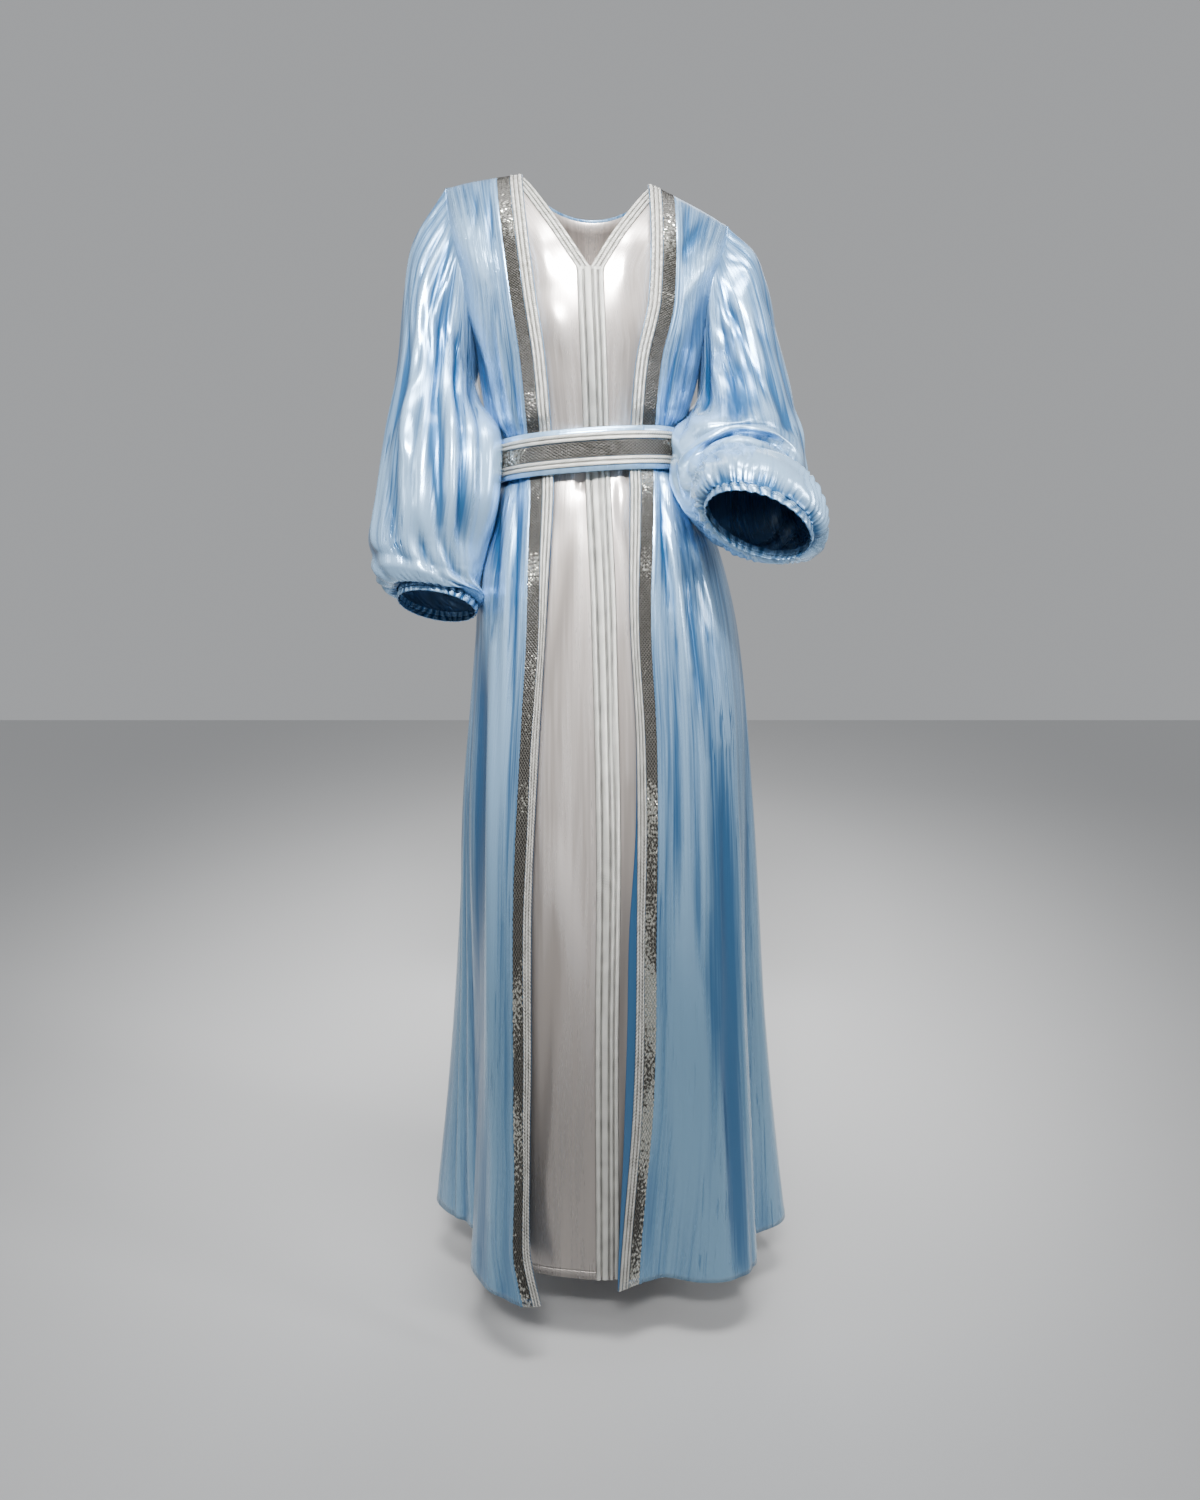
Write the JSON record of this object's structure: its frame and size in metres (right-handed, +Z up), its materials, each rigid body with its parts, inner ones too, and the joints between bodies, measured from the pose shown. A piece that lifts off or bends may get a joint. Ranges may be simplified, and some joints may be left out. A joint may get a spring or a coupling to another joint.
{
  "type": "moroccan kaftan",
  "caption": "Moroccan kaftan set: an open sky-blue satin robe with bishop sleeves over a silver satin dress, trimmed with silver braid and mirror mesh, and belted.",
  "frame": {"origin": "Midway between the two points where the garment rests beside the neck, on the shoulder line.", "axes": "+Z up, -Y the way the wearer faces, +X the wearer's left."},
  "size_m": [0.5513, 0.4708, 1.4049],
  "materials": {
    "sky_satin": "light sky-blue liquid satin, high sheen, finely crinkled",
    "silver_satin": "silver-grey satin, high sheen, smooth",
    "silver_braid": "silver metallic cord braid",
    "mirror_mesh": "band of small diamond mirrors in a dark silver lattice"
  },
  "bodies": {
    "root": {"robe_back": "sky_satin", "robe_front_right": "sky_satin", "robe_front_left": "sky_satin", "robe_braid_right": "silver_braid", "robe_braid_left": "silver_braid", "robe_mirror_right": "mirror_mesh", "robe_mirror_left": "mirror_mesh", "sleeve_right": "sky_satin", "sleeve_left": "sky_satin", "cuff_right": "sky_satin", "cuff_left": "sky_satin", "dress_back": "silver_satin", "dress_front_right": "silver_satin", "dress_front_left": "silver_satin", "neck_braid_right": "silver_braid", "neck_braid_left": "silver_braid", "centre_braid": "silver_braid", "belt_band": "sky_satin", "belt_braid_upper": "silver_braid", "belt_mirror": "mirror_mesh", "belt_braid_lower": "silver_braid"}
  },
  "joints": []
}
